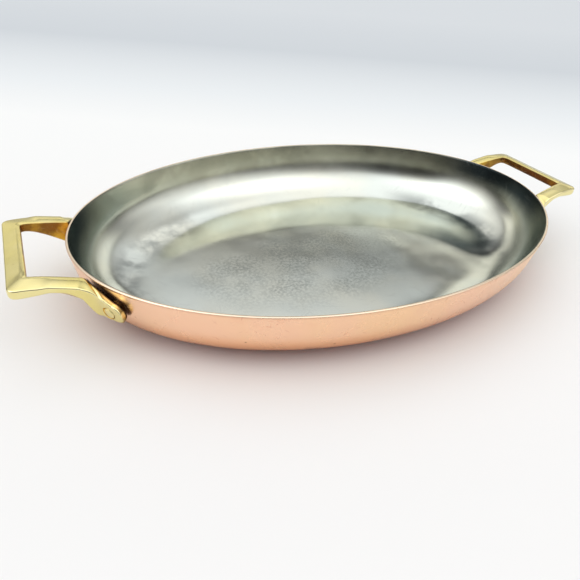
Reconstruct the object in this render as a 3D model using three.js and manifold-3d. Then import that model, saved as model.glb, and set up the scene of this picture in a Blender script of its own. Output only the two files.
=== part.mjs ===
// Oval copper gratin pan with a bonded stainless steel lining and two cast brass side handles.
// Each handle is held by two blind studs that stand on the copper wall, so nothing shows inside the pan.
// Millimetres, +Z up. X runs along the pan, from handle to handle, and Y across it, with -Y in front.
// The origin is the centre of the base, on the table.
import * as THREE from "three";
import { mergeVertices } from "three/addons/utils/BufferGeometryUtils.js";
import Module from "manifold-3d";

const wasm = await Module();
wasm.setup();
const { clamp, degToRad, lerp, smoothstep } = THREE.MathUtils;

// The pan: a sheet of copper with a skin of steel rolled onto it, pressed into an oval dish.
const rimLength = 305; // over the outside of the rim
const rimWidth = 210;
const panDepth = 38; // from the table to the rim
const wallFlare = degToRad(11); // lean of the wall from upright
const coveRadius = 28.5; // outside, where the wall turns into the base
const copperThickness = 1.2;
const steelThickness = 0.3;

// The handles: a grip bar and two arms in one casting. The arms splay towards the pan, deepen into
// gussets, and turn outward along the wall as upright flanges.
const handleReach = 28; // from the end of the rim to the outer edge of the grip bar
const barWidth = 8.8;
const barDepth = 5; // side face along the outer edge of the bar
const barInnerDepth = 4.8; // side face along the finger opening
const barRise = 3; // inner edge of the bar's top face above the rim
const barTilt = 1; // how much lower the outer edge of the top face is
const armTilt = 0.4; // the same on the arms
const crownHeight = 0.9; // ridge along the top face, over its edges
const ridgeShare = 0.4; // where the ridge lies across the top face, from the finger opening
const loopWidth = 52; // finger opening, measured along the bar
const armWidth = 8.9; // where the arm leaves the bar
const armDrop = 4.8; // fall of the top face from the bar to the wall, about square to the wall
const waistDepth = 3.7; // outer side face in the middle of the arm
const innerBendSpread = 57.2; // across the pan, between the inner bends, on the rim line
const outerBendSpread = 72.5; // the same between the outer bends
const tipSpread = 98.5; // the same between the ends of the two flanges
const flangeDrop = 6; // fall of the top face along the flange
const flangeFoot = 19; // lower edge of the gusset and the flange, below the rim
const rootThickness = 4.3; // flange at the bend
const tipThickness = 3.1; // flange at its end
const flangeStandOff = 1.1; // between the flange and the wall, filled at the studs by their feet
const tipRadius = 5; // round end of the flange
const tipLevel = 5.6; // depth under the top face that the round end closes on
const tipTurn = degToRad(78); // how far the round end closes before its small blunt face
const innerCornerEase = 1.8; // how far back a corner of the plan is rounded along its sides
const outerCornerEase = 4;
const innerBendEase = 1.5;
const outerBendEase = 5;
const topEdgeRadius = 0.5;
const lowerEdgeRadius = 1.7;

// The studs: a foot on the copper, a shank through the flange, and a head peened into a countersink.
const studSpread = 85.4; // between the two studs of a handle, on the rim line
const studLevel = 0.53; // share of the flange's height, from its top face down
const studRadius = 2.4;
const studFootRadius = 4.2;
const studHeadRadius = 3.1;
const studHeadDepth = 0.9;
const studHeadDome = 0.25; // crown of the head over the flange
const domeShoulder = 0.6; // share of the head's radius where the crown has a step of its curve
const studClearance = 0.25; // around the shank and the head
const seatGap = 0.3; // between the copper and the foot, and between the foot and the flange

// Facets.
const ovalSteps = 80;
const coveSteps = 8;
const studSteps = 20;
const topEdgeSteps = 2;
const lowerEdgeSteps = 3;
const cornerSteps = 3;
const armSteps = 6;
const bendSteps = 6;
const flangeSteps = 4;
const tipSteps = 4;

const copper = new THREE.MeshStandardMaterial({ color: 0xdf9a76, roughness: 0.25, metalness: 1 });
const steel = new THREE.MeshStandardMaterial({ color: 0xb4b5ae, roughness: 0.4, metalness: 1 });
const brass = new THREE.MeshStandardMaterial({ color: 0xdcc46c, roughness: 0.2, metalness: 1 });

// Closes a stack of rings of equal size into one skin, with a fan over each end. A ring runs
// anticlockwise when it is seen from the next one. A four-cornered facet is split along its shorter
// diagonal, so two skins that share their points meet face to face.
function skin(rings) {
  const size = rings[0].length;
  const middle = (ring) => ring.reduce((sum, p) => sum.add(p), new THREE.Vector3()).divideScalar(size);
  const points = [...rings.flat(), middle(rings[0]), middle(rings.at(-1))];
  const start = points.length - 2;
  const end = points.length - 1;
  const lastRing = (rings.length - 1) * size;
  const faces = [];
  for (let j = 0; j < size; j++) {
    const next = (j + 1) % size;
    faces.push(start, next, j);
    faces.push(end, lastRing + j, lastRing + next);
    for (let ring = 0; ring < lastRing; ring += size) {
      const a = ring + j;
      const b = ring + next;
      const c = b + size;
      const d = a + size;
      if (points[a].distanceTo(points[c]) < points[b].distanceTo(points[d])) {
        faces.push(a, b, c, a, c, d);
      } else {
        faces.push(a, b, d, b, c, d);
      }
    }
  }
  const geometry = new THREE.BufferGeometry().setFromPoints(points).setIndex(faces);
  geometry.computeVertexNormals();
  return geometry;
}

// A closed geometry with others cut out of it.
function cut(geometry, cutters) {
  const toSolid = (source) => {
    const merged = mergeVertices(source.clone().deleteAttribute("normal").deleteAttribute("uv"));
    const vertProperties = merged.attributes.position.array;
    const triVerts = new Uint32Array(merged.index.array);
    return new wasm.Manifold(new wasm.Mesh({ numProp: 3, vertProperties, triVerts }));
  };
  const body = cutters.reduce((left, cutter) => left.subtract(toSolid(cutter)), toSolid(geometry));
  const mesh = body.getMesh();
  const result = new THREE.BufferGeometry();
  result.setAttribute("position", new THREE.BufferAttribute(mesh.vertProperties, 3));
  result.setIndex(new THREE.BufferAttribute(mesh.triVerts, 1));
  result.computeVertexNormals();
  return result;
}

function piece(name, geometry, material) {
  const mesh = new THREE.Mesh(geometry, material);
  mesh.name = name;
  return mesh;
}

// The rim is an ellipse, and everything on the wall is placed square to it, by an angle around the rim
// and a distance out from it. spreadAngle gives the angle at the right-hand end where the rim has a
// certain spread across the pan, and stepAngle the angle a short distance further along the rim.
const spreadAngle = (spread) => Math.asin(spread / rimWidth);
const stepAngle = (angle, distance) =>
  angle + distance / Math.hypot((rimLength / 2) * Math.sin(angle), (rimWidth / 2) * Math.cos(angle));

const squareTo = (angle) =>
  new THREE.Vector2(Math.cos(angle) / rimLength, Math.sin(angle) / rimWidth).normalize();

function offRim(angle, out) {
  const rim = new THREE.Vector2((rimLength / 2) * Math.cos(angle), (rimWidth / 2) * Math.sin(angle));
  return rim.addScaledVector(squareTo(angle), out);
}

// Distance out from the rim, at a height, of a surface parallel to the straight of the wall.
const wallOut = (height, clear) =>
  clear / Math.cos(wallFlare) - (panDepth - height) * Math.tan(wallFlare);

// The pan's section at a depth under its outer skin, from the edge of the base up to the rim.
function wallSection(depth) {
  const radius = coveRadius - depth;
  const coveOut = wallOut(coveRadius, -coveRadius);
  const profile = [];
  for (let i = 0; i <= coveSteps; i++) {
    const turn = lerp(-Math.PI / 2, -wallFlare, i / coveSteps);
    profile.push({ out: coveOut + radius * Math.cos(turn), height: coveRadius + radius * Math.sin(turn) });
  }
  profile.push({ out: wallOut(panDepth, -depth), height: panDepth });
  return profile;
}

// One ply of the pan, up its outer face, over the edge of the rim and down its inner face.
function ply(outerFace, innerFace) {
  const profile = [...wallSection(outerFace), ...wallSection(innerFace).reverse()];
  const rings = profile.map(({ out, height }) =>
    Array.from({ length: ovalSteps }, (_, i) => {
      const { x, y } = offRim((i / ovalSteps) * 2 * Math.PI, out);
      return new THREE.Vector3(x, y, height);
    }),
  );
  return skin(rings);
}

// A handle is lofted through upright sections, each between an inner and an outer edge of the top face.
// The stretch runs from 0 to 1 along half of the bar, to 2 along the arm and to 3 along the flange.
const leanStart = 1.25; // where the outer side face starts to lean with the wall
const waistEnd = 1.45; // where the outer side face is shallowest
const footStart = 1.6; // where it starts to deepen towards the flange
const bendStretch = 1.85; // where the arm starts to bend
const footEnd = 2.3; // where the outer side face is down at the flange's foot
const armBend = 1.2; // how late the arm's top face falls, against 1 for a straight line
const dropBend = 1.5; // the same for the top face along the flange
const gussetBend = 1.8; // and for the deepening of the inner side face
const rootAngle = spreadAngle(innerBendSpread);
const tipAngle = stepAngle(spreadAngle(tipSpread), -tipRadius); // where the round end starts
const flangeStretch = (angle) => 2 + (angle - rootAngle) / (tipAngle - rootAngle);
const outerBarX = rimLength / 2 + handleReach;
const outerFallStart = 1 + barWidth / (outerBarX - offRim(rootAngle, 0).x);

// Height of the top face where it starts to fall at a certain stretch. The fall brings the arm down
// about square to the wall, and the flange further down along it.
function topHeight(stretch, fallStart) {
  const armFall = armDrop * clamp((stretch - fallStart) / (2 - fallStart), 0, 1) ** armBend;
  const flangeFall = flangeDrop * Math.max(stretch - 2, 0) ** dropBend;
  return panDepth + barRise - armFall - flangeFall;
}

const innerTop = (stretch) => topHeight(stretch, 1);

function outerTop(stretch) {
  const tilt = lerp(barTilt, armTilt, smoothstep(stretch, outerFallStart, waistEnd));
  return topHeight(stretch, outerFallStart) - tilt;
}

// The outer side face is waisted along the arm, and the inner one deepens into the gusset. Both reach
// down to one level at the flange.
const footLevel = panDepth - flangeFoot;

function outerDepth(stretch) {
  const waist = lerp(barDepth, waistDepth, smoothstep(stretch, 1, waistEnd));
  return lerp(waist, outerTop(stretch) - footLevel, smoothstep(stretch, footStart, footEnd));
}

const innerDepth = (stretch) =>
  lerp(barInnerDepth, innerTop(stretch) - footLevel, clamp(stretch - 1, 0, 1) ** gussetBend);

// Distance of the flange's outer face from the wall.
const faceClear = (stretch) =>
  flangeStandOff + lerp(rootThickness, tipThickness, clamp(stretch - 2, 0, 1));

// Half of one edge, from the middle of the bar to the end of the flange. Each point has its place in
// plan, the height of the top face, the depth of the side face below it, and the lean of that face:
// how far it shifts in plan for each millimetre down.
function edgeRun({ barX, spread, bendSpread, cornerEase, bendEase, clearAt, topAt, depthAt }) {
  const point = (plan, lean, stretch, turn = 0) => ({
    plan,
    lean,
    top: topAt(stretch),
    depth: depthAt(stretch),
    turn,
  });
  const leanAt = (angle) => squareTo(angle).multiplyScalar(-Math.tan(wallFlare));
  const onFlange = (angle, turn) => {
    const stretch = Math.min(flangeStretch(angle), 3);
    const out = wallOut(topAt(stretch), clearAt(stretch));
    return point(offRim(angle, out), leanAt(angle), stretch, turn);
  };
  const onArm = (plan, stretch) => {
    const lean = leanAt(bendAngle).multiplyScalar(smoothstep(stretch, leanStart, bendStretch));
    return point(plan, lean, stretch);
  };
  const toward = (from, to, distance) => from.clone().lerp(to, distance / from.distanceTo(to));

  const bendAngle = spreadAngle(bendSpread);
  const flangeAngle = stepAngle(bendAngle, bendEase);
  const middle = new THREE.Vector2(barX, 0);
  const corner = new THREE.Vector2(barX, spread / 2);
  const bend = onFlange(bendAngle).plan;
  const armStart = toward(corner, bend, cornerEase);
  const armEnd = toward(bend, corner, bendEase);

  const run = [onArm(middle, 0)];
  const cornerCurve = new THREE.QuadraticBezierCurve(toward(corner, middle, cornerEase), corner, armStart);
  cornerCurve.getPoints(cornerSteps).forEach((plan) => run.push(onArm(plan, 1)));
  for (let i = 1; i < armSteps; i++) {
    const share = i / armSteps;
    run.push(onArm(armStart.clone().lerp(armEnd, share), lerp(1, bendStretch, share)));
  }
  const bendCurve = new THREE.QuadraticBezierCurve(armEnd, bend, onFlange(flangeAngle).plan);
  bendCurve.getPoints(bendSteps).forEach((plan, i) => {
    const share = i / bendSteps;
    const stretch = lerp(bendStretch, flangeStretch(flangeAngle), share);
    run.push(point(plan, leanAt(lerp(bendAngle, flangeAngle, share)), stretch));
  });
  for (let i = 1; i <= flangeSteps; i++) {
    run.push(onFlange(lerp(flangeAngle, tipAngle, i / flangeSteps)));
  }
  for (let i = 1; i <= tipSteps; i++) {
    const turn = tipTurn * (i / tipSteps);
    run.push(onFlange(stepAngle(tipAngle, tipRadius * Math.sin(turn)), turn));
  }
  return run;
}

// The upright section between two edge points: a crowned top face with crisp edges, side faces, and a
// sloping underside with rounder ones. At the end of the flange it closes in towards tipLevel.
function handleSection(inner, outer) {
  const width = inner.plan.distanceTo(outer.plan);
  const at = (across, below) => {
    const share = across / width;
    const depth = lerp(tipLevel, below, Math.cos(inner.turn));
    const plan = inner.plan.clone().lerp(outer.plan, share);
    plan.addScaledVector(inner.lean.clone().lerp(outer.lean, share), depth);
    return new THREE.Vector3(plan.x, plan.y, lerp(inner.top, outer.top, share) - depth);
  };
  const ring = [];
  const edge = (across, below, radius, quarter, steps) => {
    for (let i = 0; i <= steps; i++) {
      const turn = (quarter - i / steps) * (Math.PI / 2);
      ring.push(at(across + radius * Math.cos(turn), below - radius * Math.sin(turn)));
    }
  };
  const upper = topEdgeRadius;
  const lower = lowerEdgeRadius;
  edge(upper, upper, upper, 2, topEdgeSteps);
  ring.push(at(ridgeShare * width, -crownHeight * Math.min(1, width / barWidth)));
  edge(width - upper, upper, upper, 1, topEdgeSteps);
  edge(width - lower, outer.depth - lower, lower, 0, lowerEdgeSteps);
  edge(lower, inner.depth - lower, lower, -1, lowerEdgeSteps);
  return ring;
}

function handleCasting() {
  const innerEdge = edgeRun({
    barX: outerBarX - barWidth,
    spread: loopWidth,
    bendSpread: innerBendSpread,
    cornerEase: innerCornerEase,
    bendEase: innerBendEase,
    clearAt: () => flangeStandOff,
    topAt: innerTop,
    depthAt: innerDepth,
  });
  const outerEdge = edgeRun({
    barX: outerBarX,
    spread: loopWidth + 2 * armWidth,
    bendSpread: outerBendSpread,
    cornerEase: outerCornerEase,
    bendEase: outerBendEase,
    clearAt: faceClear,
    topAt: outerTop,
    depthAt: outerDepth,
  });
  const back = innerEdge.map((point, i) => handleSection(point, outerEdge[i]));
  const mirrored = back.slice(1).map((ring) => ring.map((p) => new THREE.Vector3(p.x, -p.y, p.z)));
  return skin([...mirrored.reverse(), ...back]);
}

// A stud stands on +Z, with the copper at 0. The profile is a list of radii and heights.
const spin = (profile) =>
  new THREE.LatheGeometry(
    profile.map(([radius, height]) => new THREE.Vector2(radius, height)),
    studSteps,
  ).rotateX(Math.PI / 2);

const studAngle = spreadAngle(studSpread);
const studStretch = flangeStretch(studAngle);
const flangeFace = faceClear(studStretch);

function stud() {
  const footTop = flangeStandOff - seatGap;
  return spin([
    [0, seatGap],
    [studFootRadius, seatGap],
    [studFootRadius, footTop],
    [studRadius, footTop],
    [studRadius, flangeFace - studHeadDepth],
    [studHeadRadius, flangeFace],
    [domeShoulder * studHeadRadius, flangeFace + studHeadDome * (1 - domeShoulder ** 2)],
    [0, flangeFace + studHeadDome],
  ]);
}

function studHole() {
  const overrun = 2; // past both faces of the flange
  return spin([
    [0, flangeStandOff - overrun],
    [studRadius + studClearance, flangeStandOff - overrun],
    [studRadius + studClearance, flangeFace - studHeadDepth],
    [studHeadRadius + studClearance, flangeFace],
    [studHeadRadius + studClearance, flangeFace + overrun],
    [0, flangeFace + overrun],
  ]);
}

// Stands an object square on the copper behind the flange, in front (-1) or at the back (1).
function placeOnWall(object, side) {
  const height = lerp(innerTop(studStretch), footLevel, studLevel);
  const plan = offRim(studAngle, wallOut(height, 0));
  const out = squareTo(studAngle).multiplyScalar(Math.cos(wallFlare));
  object.position.set(plan.x, side * plan.y, height);
  const axis = new THREE.Vector3(out.x, side * out.y, -Math.sin(wallFlare));
  object.quaternion.setFromUnitVectors(new THREE.Vector3(0, 0, 1), axis);
  object.updateMatrix();
  return object;
}

// One side of the pan: a handle and its two studs, built at the right-hand end.
function handleSide(end, studNames) {
  const holes = [-1, 1].map((side) => {
    const place = placeOnWall(new THREE.Object3D(), side);
    return studHole().applyMatrix4(place.matrix);
  });
  const group = new THREE.Group();
  group.add(piece(`${end}_handle`, cut(handleCasting(), holes), brass));
  group.add(placeOnWall(piece(studNames[0], stud(), brass), -1));
  group.add(placeOnWall(piece(studNames[1], stud(), brass), 1));
  return group;
}

const pan = new THREE.Group();
pan.add(piece("copper_shell", ply(0, copperThickness), copper));
pan.add(piece("steel_lining", ply(copperThickness, copperThickness + steelThickness), steel));
pan.add(handleSide("right", ["front_right_stud", "back_right_stud"]));
const leftSide = handleSide("left", ["back_left_stud", "front_left_stud"]);
leftSide.rotation.z = Math.PI;
pan.add(leftSide);

export default pan;
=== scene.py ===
import math

import bpy
import numpy as np
from mathutils import Matrix


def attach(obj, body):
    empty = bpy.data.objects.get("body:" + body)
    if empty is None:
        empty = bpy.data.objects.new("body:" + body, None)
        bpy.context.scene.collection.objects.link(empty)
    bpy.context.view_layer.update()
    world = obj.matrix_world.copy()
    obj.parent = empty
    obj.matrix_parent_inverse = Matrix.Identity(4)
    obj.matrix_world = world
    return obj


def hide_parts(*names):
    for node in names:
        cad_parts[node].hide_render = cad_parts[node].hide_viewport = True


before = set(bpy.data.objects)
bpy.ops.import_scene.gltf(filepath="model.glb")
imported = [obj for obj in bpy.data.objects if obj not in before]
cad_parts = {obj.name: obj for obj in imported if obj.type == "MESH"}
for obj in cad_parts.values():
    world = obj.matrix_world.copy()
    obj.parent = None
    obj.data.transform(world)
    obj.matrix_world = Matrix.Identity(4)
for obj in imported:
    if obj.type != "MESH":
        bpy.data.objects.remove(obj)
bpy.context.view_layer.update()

# The pan body: a dish pressed from copper sheet 1.2 mm thick, oval, with a flared wall and a wide
# cove into its flat base. The outside is polished to a satin shine, and the edge of the rim is
# rounded over, with a painted highlight that makes its top pale.
RIM_LENGTH = 0.305  # over the outside of the rim
RIM_WIDTH = 0.210
PAN_DEPTH = 0.038
WALL_FLARE = math.radians(11)  # lean of the wall from upright
COVE_RADIUS = 0.0285
FOOT_FADE = 0.016  # the cove's turn sets in over this length, each way of its foot
COVE_FADE = 0.004  # and dies away over this one, each way of its top
COPPER_THICKNESS = 0.0012
RIM_ROUNDING = 0.0007
OVAL_STEPS = 480
BASE_STEPS = 12
COVE_STEPS = 60
SUMS_PER_STEP = 10  # parts of a step in which the cove's turn is added up
WALL_STEPS = 8
RIM_STEPS = 8

COPPER = (1.0, 0.655, 0.45)
WARM_COPPER = (1.0, 0.68, 0.42)
SMUDGED_COPPER = (0.92, 0.55, 0.37)
SCRATCHED_COPPER = (0.70, 0.34, 0.22)
PITTED_COPPER = (0.25, 0.11, 0.07)
LOWER_REFLECTION_COPPER = (1.0, 0.51, 0.22)
FOOT_SHADE_COPPER = (0.50, 0.13, 0.04)
RIM_HIGHLIGHT_COPPER = (0.97, 0.86, 0.70)
LOWER_REFLECTION_HEIGHTS = (0.012, 0.025)
FOOT_SHADE_HEIGHTS = (0.008, 0.014)
RIM_HIGHLIGHT_HEIGHTS = (0.0375, 0.0379)
COPPER_ROUGHNESS = (0.24, 0.31)
COPPER_SCRATCH_ROUGHNESS = 0.10
COPPER_SCRATCH_DEPTH = 0.00001

# Painted shade: the copper in the narrow gap behind the handles' flanges is painted near-black. The
# shade lies under a line that falls as the flange's top does, and ends round at the flange's tip. Its
# lengths are heights, and ways from the pan's long middle line. A pair is where an edge starts and
# ends.
GAP_SHADE = (0.035, 0.012, 0.006)
GAP_START = (0.0260, 0.0268)
GAP_END = (0.0420, 0.0422)
GAP_FOOT = (0.0187, 0.0195)
GAP_TOP = 0.0350
GAP_TOP_EDGE = (0, 0.0004)
GAP_FALL = 0.00516
FLANGE_FALL_POWER = 1.5
TIP_HEIGHT = 0.0249
TIP_REACH = (0.0034, 0.0044)
TIP_SLANT = 0.824
PAN_ENDS = (0.10, 0.11)


def mix(a, b, share):
    """a at the share 0, b at the share 1, and evenly between them."""
    return a + (b - a) * share


def rim_point(angle):
    """A point of the rim's outer ellipse, and the unit vector square to the ellipse there, outward:
    the ellipse's gradient (cos / length, sin / width), scaled to length 1."""
    point = np.stack([RIM_LENGTH / 2 * np.cos(angle), RIM_WIDTH / 2 * np.sin(angle)], -1)
    square = np.stack([np.cos(angle) / RIM_LENGTH, np.sin(angle) / RIM_WIDTH], -1)
    return point, square / np.linalg.norm(square, axis=-1, keepdims=True)


def wall_out(height, clear):
    """How far outside the rim's ellipse a surface lies at a height, when it runs parallel to the
    straight of the wall at a distance of clear outside it."""
    return clear / math.cos(WALL_FLARE) - (PAN_DEPTH - height) * math.tan(WALL_FLARE)


def wall_section(depth, rounding=0.0):
    """One face of the pan in section, at a depth under the outer skin, from the middle of the base to
    the rim, less the radius that the rim is rounded with. The cove turns evenly, as its length over
    its radius. The turn starts with the square of the way over FOOT_FADE each way of the cove's foot,
    and dies away with the square of what is left over COVE_FADE each way of its top. Returns rows of
    the share of the way from the middle, the distance out from the rim and the height."""
    full_turn = np.pi / 2 - WALL_FLARE
    length = COVE_RADIUS * full_turn
    along = np.linspace(-FOOT_FADE, length + COVE_FADE, COVE_STEPS * SUMS_PER_STEP + 1)
    left = length + COVE_FADE - along
    starting = (along + FOOT_FADE) ** 2 / (4 * FOOT_FADE * COVE_RADIUS)
    even = along / COVE_RADIUS
    ending = full_turn - left**2 / (4 * COVE_FADE * COVE_RADIUS)
    turn = np.where(along < FOOT_FADE, starting, np.where(left > 2 * COVE_FADE, even, ending))
    middle_turn = (turn[1:] + turn[:-1]) / 2
    step = along[1] - along[0]
    out = np.append(0, np.cumsum(np.cos(middle_turn)) * step)
    height = np.append(0, np.cumsum(np.sin(middle_turn)) * step)
    out += wall_out(height[-1], 0) - out[-1]
    out = (out - depth * np.sin(turn))[::SUMS_PER_STEP]
    height = (height + depth * np.cos(turn))[::SUMS_PER_STEP]

    top = PAN_DEPTH - rounding
    straight = np.linspace(0, 1, WALL_STEPS + 1)[1:]
    out = np.append(out, mix(out[-1], wall_out(top, -depth), straight))
    height = np.append(height, mix(height[-1], top, straight))
    base = np.linspace(0, 1, BASE_STEPS + 1)[1:-1]
    share = np.append(base, np.ones(len(out)))
    out = np.append(np.full(len(base), out[0]), out)
    height = np.append(np.full(len(base), height[0]), height)
    return np.stack([share, out, height], -1)


def rim_corner(depth, side, rounding):
    """The quarter round between a face of the ply, at a depth under the outer skin, and the top of
    the rim. side is 1 on the outer face and -1 on the inner one."""
    turn = np.linspace(0, np.pi / 2, RIM_STEPS + 1)[1:]
    out = wall_out(PAN_DEPTH, -depth) - side * rounding * (1 - np.cos(turn))
    height = PAN_DEPTH - rounding * (1 - np.sin(turn))
    return np.stack([np.ones(len(turn)), out, height], -1)


def oval_skin(name, profile):
    """A closed skin: the profile carried round the oval, square to the rim's ellipse. A profile point
    lies at share * (rim point + out * square) in plan and at its height, and both ends close on a
    single point over the middle of the pan. Unrolled, the wall lies flat outside the base: out is
    then the distance along the section to the rim."""
    angle = np.arange(OVAL_STEPS) * 2 * np.pi / OVAL_STEPS
    point, square = rim_point(angle)
    share, out, height = (profile[:, None, i] for i in range(3))
    plan = share[..., None] * (point + out[..., None] * square)
    rings = np.concatenate([plan, np.broadcast_to(height, plan.shape[:2])[..., None]], -1)
    steps = np.hypot(np.diff(profile[:, 1]), np.diff(profile[:, 2]))
    along = np.append(0, np.cumsum(steps))
    to_rim = np.abs(along - along[np.argmax(profile[:, 2])])
    flat = share[..., None] * (point - to_rim[:, None, None] * square)
    return ring_mesh(name, rings, flat)


def ring_mesh(name, rings, flat):
    """A closed mesh through a stack of rings of equal size, as quads between neighbours, with a fan
    from each end ring to its middle. A ring runs anticlockwise when it is seen from the one before.
    The flat places of the points become the UV map unrolled."""
    count, size = rings.shape[:2]
    points = np.concatenate([rings.reshape(-1, 3), rings[[0, -1]].mean(1)])
    row, column = np.meshgrid(np.arange(count - 1), np.arange(size), indexing="ij")
    a = row * size + column
    b = row * size + (column + 1) % size
    quads = np.stack([a, b, b + size, a + size], -1).reshape(-1, 4)
    ring = np.arange(size)
    following = (ring + 1) % size
    last = (count - 1) * size
    start = np.stack([np.full(size, count * size), following, ring], -1)
    end = np.stack([np.full(size, count * size + 1), last + ring, last + following], -1)
    mesh = bpy.data.meshes.new(name)
    mesh.from_pydata(points.tolist(), [], [*quads.tolist(), *start.tolist(), *end.tolist()])
    mesh.shade_smooth()
    places = np.concatenate([flat.reshape(-1, 2), flat[[0, -1]].mean(1)])
    layer = mesh.uv_layers.new(name="unrolled")
    layer.uv.foreach_set("vector", places[corner_points(mesh)].astype(np.float32).ravel())
    obj = bpy.data.objects.new(name, mesh)
    bpy.context.scene.collection.objects.link(obj)
    return obj


def corner_points(mesh):
    """The number of the point under each corner of a mesh's faces."""
    numbers = np.zeros(len(mesh.loops), dtype=np.int32)
    mesh.loops.foreach_get("vertex_index", numbers)
    return numbers


def add_node(tree, kind, operation=None, **values):
    """Adds a node of a kind to a tree, with its operation, and with values for its sockets by name
    or, as _0, _1 and so on, by number. A value is a plain one or another node's output."""
    node = tree.nodes.new("ShaderNode" + kind)
    if operation:
        node.operation = operation
    fill(tree, node, values)
    return node


def fill(tree, node, values):
    """Sets a node's sockets to plain values, or links them to outputs."""
    for key, value in values.items():
        socket = node.inputs[int(key[1:]) if key.startswith("_") else key.replace("_", " ")]
        if isinstance(value, bpy.types.NodeSocket):
            tree.links.new(value, socket)
        else:
            socket.default_value = value


def reckon(tree, operation, *values):
    """The result of a Math node's operation on one or two values."""
    numbered = {f"_{place}": value for place, value in enumerate(values)}
    return add_node(tree, "Math", operation, **numbered).outputs[0]


def product(tree, *values):
    """The product of some masks and numbers."""
    result = values[0]
    for value in values[1:]:
        result = reckon(tree, "MULTIPLY", result, value)
    return result


def between(tree, value, low, high, at_low, at_high):
    """A value that turns softly from at_low to at_high while the given one goes from low to high."""
    node = add_node(tree, "MapRange", _0=value, _1=low, _2=high, _3=at_low, _4=at_high)
    node.interpolation_type = "SMOOTHSTEP"
    return node.outputs[0]


def above(tree, value, low, high):
    """A mask that is 0 where a value is below low, and 1 where it is above high."""
    return between(tree, value, low, high, 0, 1)


def below(tree, value, low, high):
    """A mask that is 1 where a value is below low, and 0 where it is above high."""
    return between(tree, value, low, high, 1, 0)


def stain(tree, color, other, *masks, strength=1.0):
    """A colour that turns to another by the product of the masks and the strength."""
    other = other if isinstance(other, bpy.types.NodeSocket) else (*other, 1)
    color = color if isinstance(color, bpy.types.NodeSocket) else (*color, 1)
    share = product(tree, *masks, strength)
    return add_node(tree, "MixRGB", Fac=share, Color1=color, Color2=other).outputs[0]


def mask_group(name, **numbers):
    """An empty shader node group with named number inputs and one output, Mask. Returns its tree, its
    inputs and a function that closes it on the value that it puts out."""
    tree = bpy.data.node_groups.new(name, "ShaderNodeTree")
    for label, number in numbers.items():
        socket = tree.interface.new_socket(label, in_out="INPUT", socket_type="NodeSocketFloat")
        socket.default_value = number
    tree.interface.new_socket("Mask", in_out="OUTPUT", socket_type="NodeSocketFloat")
    inputs = tree.nodes.new("NodeGroupInput").outputs
    ending = tree.nodes.new("NodeGroupOutput")
    return tree, inputs, lambda value: tree.links.new(value, ending.inputs["Mask"])


def mask(tree, group, **values):
    """Places a mask group in a material and returns its mask."""
    node = tree.nodes.new("ShaderNodeGroup")
    node.node_tree = group
    fill(tree, node, values)
    return node.outputs["Mask"]


# Soft patches: a noise of so many cells per metre, cut between a low and a high value.
patches, inputs, close = mask_group("soft_patches", Scale=20, Seed=0, Low=0.4, High=0.6, Detail=3)
clouds = add_node(patches, "TexNoise", Vector=add_node(patches, "TexCoord").outputs["Object"])
clouds.noise_dimensions = "4D"
fill(patches, clouds, {"W": inputs["Seed"], "Scale": inputs["Scale"], "Detail": inputs["Detail"]})
close(above(patches, clouds.outputs[0], inputs["Low"], inputs["High"]))

# Fine scratches: noises on the unrolled surface, stretched to streaks in four directions, of which
# only the peaks are kept. A scratch gets its full depth this much over the least noise.
SCRATCH_TURNS = (0.35, 1.2, 1.9, 2.8)
SCRATCH_RISE = 0.05
scratches, inputs, close = mask_group("fine_scratches", Scale=900, Length=14, Least=0.7)
place = add_node(scratches, "UVMap")
place.uv_map = "unrolled"
stretch = add_node(scratches, "CombineXYZ", _0=inputs["Length"], _1=1, _2=1).outputs[0]
full = reckon(scratches, "ADD", inputs["Least"], SCRATCH_RISE)
deepest = 0.0
for turn in SCRATCH_TURNS:
    streaks = add_node(scratches, "Mapping", Vector=place.outputs[0], Rotation=(0, 0, turn))
    fill(scratches, streaks, {"Scale": stretch})
    streaks.vector_type = "TEXTURE"
    noise = add_node(scratches, "TexNoise", Vector=streaks.outputs[0], Scale=inputs["Scale"])
    noise.noise_dimensions = "2D"
    noise.inputs["Detail"].default_value = 1
    line = above(scratches, noise.outputs[0], inputs["Least"], full)
    deepest = reckon(scratches, "MAXIMUM", deepest, line)
close(deepest)

# Small pits: the middles of scattered cells, of which only a share are kept. A pit is full over this
# part of its size.
PIT_CORE = 0.5
pits, inputs, close = mask_group("small_pits", Scale=100, Size=0.2, Share=0.5)
place = add_node(pits, "TexCoord").outputs["Object"]
cells = add_node(pits, "TexVoronoi", Vector=place, Scale=inputs["Scale"])
core = product(pits, inputs["Size"], PIT_CORE)
dot = below(pits, cells.outputs["Distance"], core, inputs["Size"])
chance = add_node(pits, "SeparateXYZ", _0=cells.outputs["Color"]).outputs[0]
close(product(pits, dot, reckon(pits, "LESS_THAN", chance, inputs["Share"])))


def metal(name):
    """A new metal material. Returns it, its tree, its shader and the three Object coordinates."""
    material = bpy.data.materials.new(name)
    material.use_nodes = True
    tree = material.node_tree
    shader = tree.nodes["Principled BSDF"]
    shader.inputs["Metallic"].default_value = 1
    axes = add_node(tree, "SeparateXYZ", _0=add_node(tree, "TexCoord").outputs["Object"]).outputs
    return material, tree, shader, axes


def finish(tree, shader, color, roughness):
    """Links a metal's colour and roughness to its shader."""
    tree.links.new(color, shader.inputs["Base Color"])
    tree.links.new(roughness, shader.inputs["Roughness"])


def dent(tree, shader, height, distance):
    """Presses a height into the shader's normal, of this distance in metres where the height is 1."""
    bump = add_node(tree, "Bump", Strength=1.0, Distance=distance, Height=height)
    tree.links.new(bump.outputs[0], shader.inputs["Normal"])


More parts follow.
